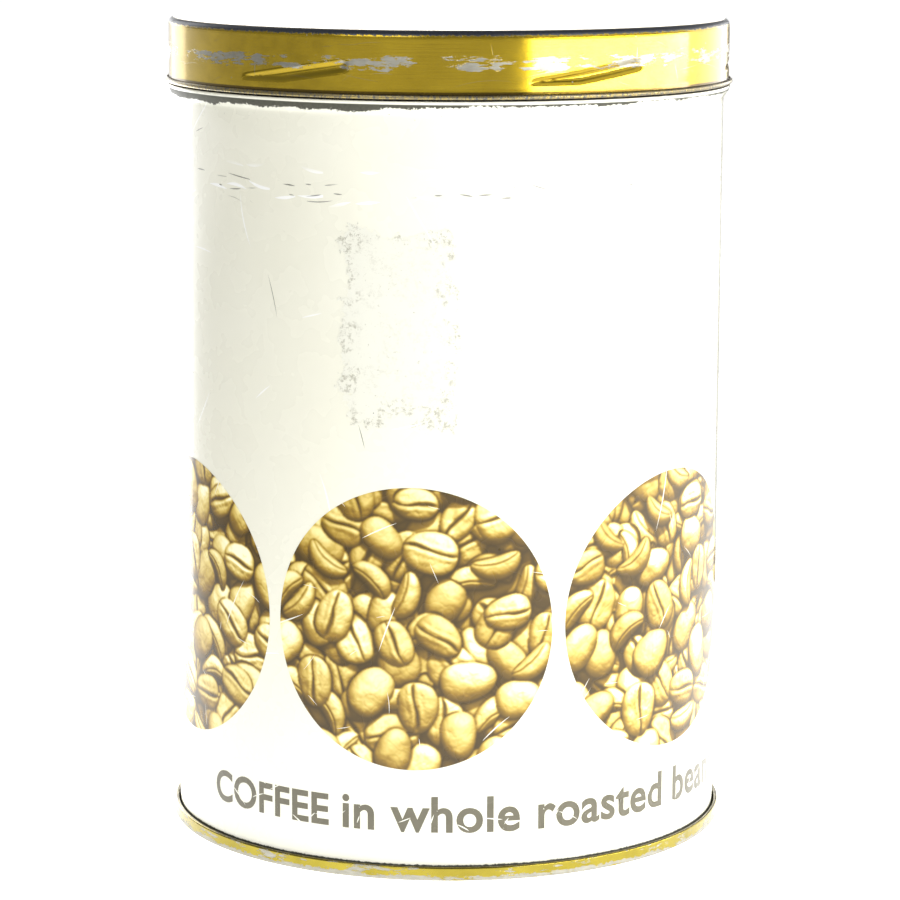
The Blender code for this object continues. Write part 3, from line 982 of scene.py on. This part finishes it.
def lid_edge_masks(flat, height):
    """Scuffs half way up the skirt; a bare top corner with a ragged edge and a speckled curl, both worn
    tin painted dark as shade; a dark line of painted shade where the curl meets the skirt; dirt dots on
    the top.
    """
    ragged = noise_of(flat, 1.5, 6.0, 0.72)
    long_wear = noise_of(flat, 0.05, 2.0)
    edge = plus(height, scaled_by(ragged, 2.2, -1.1))
    corner = step_of(edge, LID_TOP / MM - 1.15, LID_TOP / MM - 0.95)
    tree = flat.id_data
    rim = plus(reach_of(own_place(tree), 1000.0), scaled_by(ragged, 1.6, -0.8))
    corner = times(corner, step_of(rim, SKIRT_R / MM - 1.30, SKIRT_R / MM - 1.00))
    dots = node(tree, "ShaderNodeTexVoronoi", inputs={"Vector": flat, "Scale": 0.075}).outputs["Distance"]
    on_top = step_of(height, LID_TOP / MM - 0.02, LID_TOP / MM - 0.01)
    dots = times(step_of(dots, 0.030, 0.045, 1.0, 0.0), on_top)
    curl = step_of(height, curl_z / MM + 0.45, curl_z / MM + 0.6, 1.0, 0.0)
    speckle = step_of(ragged, 0.40, 0.62, 0.35, 0.95)
    corner = either(corner, times(curl, speckle))
    # A dark brown line where the curl meets the skirt: painted shade. The dots on the top are dirt.
    shade_and_dirt = window_of(height, curl_z / MM + 0.45, curl_z / MM + 1.05, 0.12)
    shade_and_dirt = times(shade_and_dirt, step_of(ragged, 0.2, 0.5, 0.6, 1.0))
    shade_and_dirt = either(shade_and_dirt, dots)
    band = window_of(height, 178.2, 182.4, 1.3)
    zone = times(band, step_of(long_wear, 0.30, 0.58, 0.72, 1.12))
    spots = step_of(height, LID_TOP / MM - 0.01, LID_TOP / MM, 0.0, 0.22)
    return either(zone, spots), corner, shade_and_dirt


lid_gold = gold_lacquer("gold_lacquer_lid", (0.29, 0.195, 0.008, 1), (0.42, 0.295, 0.016, 1),
                        lid_edge_masks)
lid.data.materials.append(lid_gold)
lid.data.materials.append(tinplate)
thicken(lid, 1)
for face in lid.data.polygons:
    if math.hypot(face.center.x, face.center.y) > SKIRT_R + 0.06 * MM:
        face.material_index = 0
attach(lid, "lid")
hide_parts("lid_shell")

# ---------------------------------------------------------------- bottom end
# Gold lacquered end folded over the body's lower edge in a double seam. Its panel is set up
# inside the seam and stiffened by two shallow beads.
BASE_SIDES = 320
SEAM_TOP = 3.1 * MM
PANEL_Z = 3.7 * MM
SINK_R = 62.7 * MM
BEAD_RADII = (47.0 * MM, 28.0 * MM)
BEAD_HALF = 1.8 * MM
BEAD_SINK = 0.7 * MM
round_r = 0.35 * MM
hook_face = SEAM_R - 3 * PLATE - 0.24 * MM
end_profile = [(hook_face, 1.65 * MM), (hook_face, 2.2 * MM)]
end_profile += bend(hook_face + round_r, SEAM_TOP - round_r, round_r, 180, 90, 4)
end_profile += bend(SEAM_R - round_r, SEAM_TOP - round_r, round_r, 90, 0, 4)
end_profile += climb(SEAM_R, 0.6 * MM, 2.5 * MM, 3)
end_profile += bend(SEAM_R - round_r, round_r, round_r, 0, -90, 4)
end_profile += bend(SINK_R + round_r, round_r, round_r, 270, 180, 4)
end_profile += [(SINK_R, 0.8 * MM), (SINK_R, 2.4 * MM)]
end_profile += bend(SINK_R - 0.6 * MM, 4.0 * MM, 0.6 * MM, 0, 90, 4)
end_profile += [(SINK_R - 1.6 * MM, 4.6 * MM)]
end_profile += [(SINK_R - 2.2 * MM, 4.35 * MM), (SINK_R - 2.8 * MM, 3.85 * MM)]
end_profile.append((SINK_R - 3.4 * MM, PANEL_Z))
for bead_r in BEAD_RADII:
    end_profile += pressed_ring(bead_r, BEAD_HALF, -BEAD_SINK, PANEL_Z, 12)
end_profile += [(12.0 * MM, PANEL_Z), (4.0 * MM, PANEL_Z), (0.0, PANEL_Z)]
bottom = turned("base_end", end_profile, BASE_SIDES)
face_outwards(bottom, 1.6 * MM)
wrap_map(bottom)


def base_edge_masks(flat, height):
    """The seam's rounded foot, rubbed to bare tin where the tin has been set down; the seam's top is worn
    tin painted dark with a dark brown line along it, painted shade where the seam meets the wall.
    """
    ragged = noise_of(flat, 1.1, 6.0, 0.72)
    edge = plus(height, scaled_by(ragged, 2.2, -1.1))
    # The crown of the seam: worn tin, painted dark as shade.
    crown = step_of(edge, 3.3, 3.6, 0.0, 0.5)
    below_panel = step_of(height, 3.2, 3.4, 1.0, 0.0)
    corner = times(crown, below_panel)
    foot = step_of(edge, 0.6, 2.2, 1.30, 0.0)
    # A dark brown line along the seam's top, next to the wall: painted shade.
    shade_and_dirt = step_of(plus(height, scaled_by(ragged, 1.0, -0.5)), 2.92, 3.1)
    shade_and_dirt = times(times(shade_and_dirt, below_panel), 0.8)
    patches = step_of(noise_of(flat, 0.06, 2.0), 0.3, 0.7, 0.62, 0.98)
    return either(foot, patches), corner, shade_and_dirt


base_gold = gold_lacquer("gold_lacquer_base", (0.18, 0.140, 0.012, 1), (0.42, 0.34, 0.040, 1),
                         base_edge_masks)
bottom.data.materials.append(base_gold)
bottom.data.materials.append(tinplate)
thicken(bottom, 1)
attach(bottom, "tin")
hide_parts("bottom_end")

# ---------------------------------------------------------------- liner
# Pulpboard disc cut with a die, loose in the lid. The mouth's curl has pressed a ring in it.
liner_r = liner_high[0]
liner_top, liner_bottom = liner_high[2], liner_low[2]
ring_r = NECK_R - CURL_TUBE
rim = 0.2 * MM
LINER_SIDES = 192
DENT = 0.22 * MM
DENT_HALF = 0.9 * MM
liner_profile = [(8 * MM, liner_top), (40 * MM, liner_top)]
liner_profile += bend(liner_r - rim, liner_top - rim, rim, 90, 0, 3)
liner_profile += bend(liner_r - rim, liner_bottom + rim, rim, 0, -90, 3)
dented = pressed_ring(ring_r, DENT_HALF, DENT, liner_bottom, 10)
liner_profile += [point for point in dented if point[0] < liner_r - rim]
liner_profile += [(40 * MM, liner_bottom), (8 * MM, liner_bottom)]
liner_profile.append((0.0, liner_bottom))
liner = turned("lid_wad", liner_profile, LINER_SIDES, 'TRIFAN')
wrap_map(liner)
board, tree, shader = new_material("grey_pulpboard", 0.85)
place = own_place(tree)
fibres = node(tree, "ShaderNodeTexVoronoi", inputs={"Vector": place, "Scale": 1400.0})
fleck = noise_of(place, 900.0, 4.0, 0.7)
cloud = noise_of(place, 45.0, 3.0)
pulp = mix_of(cloud, (0.40, 0.36, 0.28, 1), (0.52, 0.48, 0.39, 1))
pulp = mix_of(step_of(fleck, 0.60, 0.72), pulp, (0.22, 0.18, 0.13, 1))
ring = window_of(reach_of(place, 1.0), ring_r - 0.8 * MM, ring_r + 0.8 * MM, 0.3 * MM)
ring = times(ring, step_of(cloud, 0.3, 0.6, 0.25, 0.7))
feed(shader, "Base Color", mix_of(ring, pulp, (0.19, 0.15, 0.10, 1)))
felt = plus(fleck, times(fibres.outputs["Distance"], 0.5))
emboss(shader, felt, 0.00015, 0.6)
liner.data.materials.append(board)
bpy.ops.object.shade_smooth_by_angle(angle=math.radians(40))
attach(liner, "liner")
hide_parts("lid_liner")

# ---------------------------------------------------------------- solder and sealing compound
# A strip of soft solder runs down the inside of the side seam. Cured rubbery compound fills
# the fold of the base seam and shows only as a thin dark line.
SOLDER_WIDTH = 4.0 * MM
CUTS_UP = 90
CUTS_ACROSS = 6
bpy.ops.object.select_all(action='DESELECT')
bpy.ops.mesh.primitive_cube_add(size=1.0, location=(0, -WALL_R, (solder_low[2] + solder_high[2]) / 2))
solder = bpy.context.object
solder.name = "seam_solder_bead"
solder_length = solder_high[2] - solder_low[2]
bpy.ops.transform.resize(value=(SOLDER_WIDTH, 0.45 * MM, solder_length))
bpy.ops.object.transform_apply(location=True, rotation=True, scale=True)
bpy.ops.object.mode_set(mode='EDIT')
slices(2, solder_low[2], solder_high[2], CUTS_UP)
slices(0, -SOLDER_WIDTH / 2, SOLDER_WIDTH / 2, CUTS_ACROSS)
bpy.ops.object.mode_set(mode='OBJECT')
places = points_of(solder)
across = places[:, 0] / (SOLDER_WIDTH / 2)
flow = 1.0 + 0.10 * np.sin(places[:, 2] * 410.0) + 0.07 * np.sin(places[:, 2] * 1130.0 + 1.3)
crown = np.sqrt(np.clip(1.0 - across ** 2, 0.0, 1.0)) * (0.75 + 0.25 * np.sin(places[:, 2] * 700.0) ** 2)
inner = places[:, 1] > -WALL_R
wall_r = WALL_R - PLATE - 0.02 * MM
angle = SEAM_ANGLE + places[:, 0] * flow * 0.9 / wall_r
solder_r = np.where(inner, wall_r - 0.03 * MM - 0.36 * MM * crown, wall_r)
put_points(solder, round_axis(angle, solder_r, places[:, 2]))
soft_metal, tree, shader = new_material("soft_solder", 0.38, 1.0)
place = own_place(tree)
frost = noise_of(place, 420.0, 5.0, 0.65)
solder_tone = mix_of(frost, (0.30, 0.30, 0.29, 1), (0.60, 0.60, 0.58, 1))
feed(shader, "Base Color", solder_tone)
feed(shader, "Roughness", step_of(frost, 0.3, 0.7, 0.28, 0.52))
emboss(shader, frost, 0.0001, 0.5)
solder.data.materials.append(soft_metal)
bpy.ops.object.shade_smooth_by_angle(angle=math.radians(60))
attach(solder, "tin")
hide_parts("side_seam_solder")

compound, tree, shader = new_material("sealing_compound", 0.6)
place = own_place(tree)
mottle = noise_of(place, 300.0, 3.0)
rubber = mix_of(mottle, (0.05, 0.045, 0.04, 1), (0.12, 0.10, 0.08, 1))
feed(shader, "Base Color", rubber)
feed(shader, "Roughness", step_of(mottle, 0.3, 0.7, 0.45, 0.7))
ring_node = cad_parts["bottom_sealing_ring"]
ring_node.data.materials.clear()
ring_node.data.materials.append(compound)
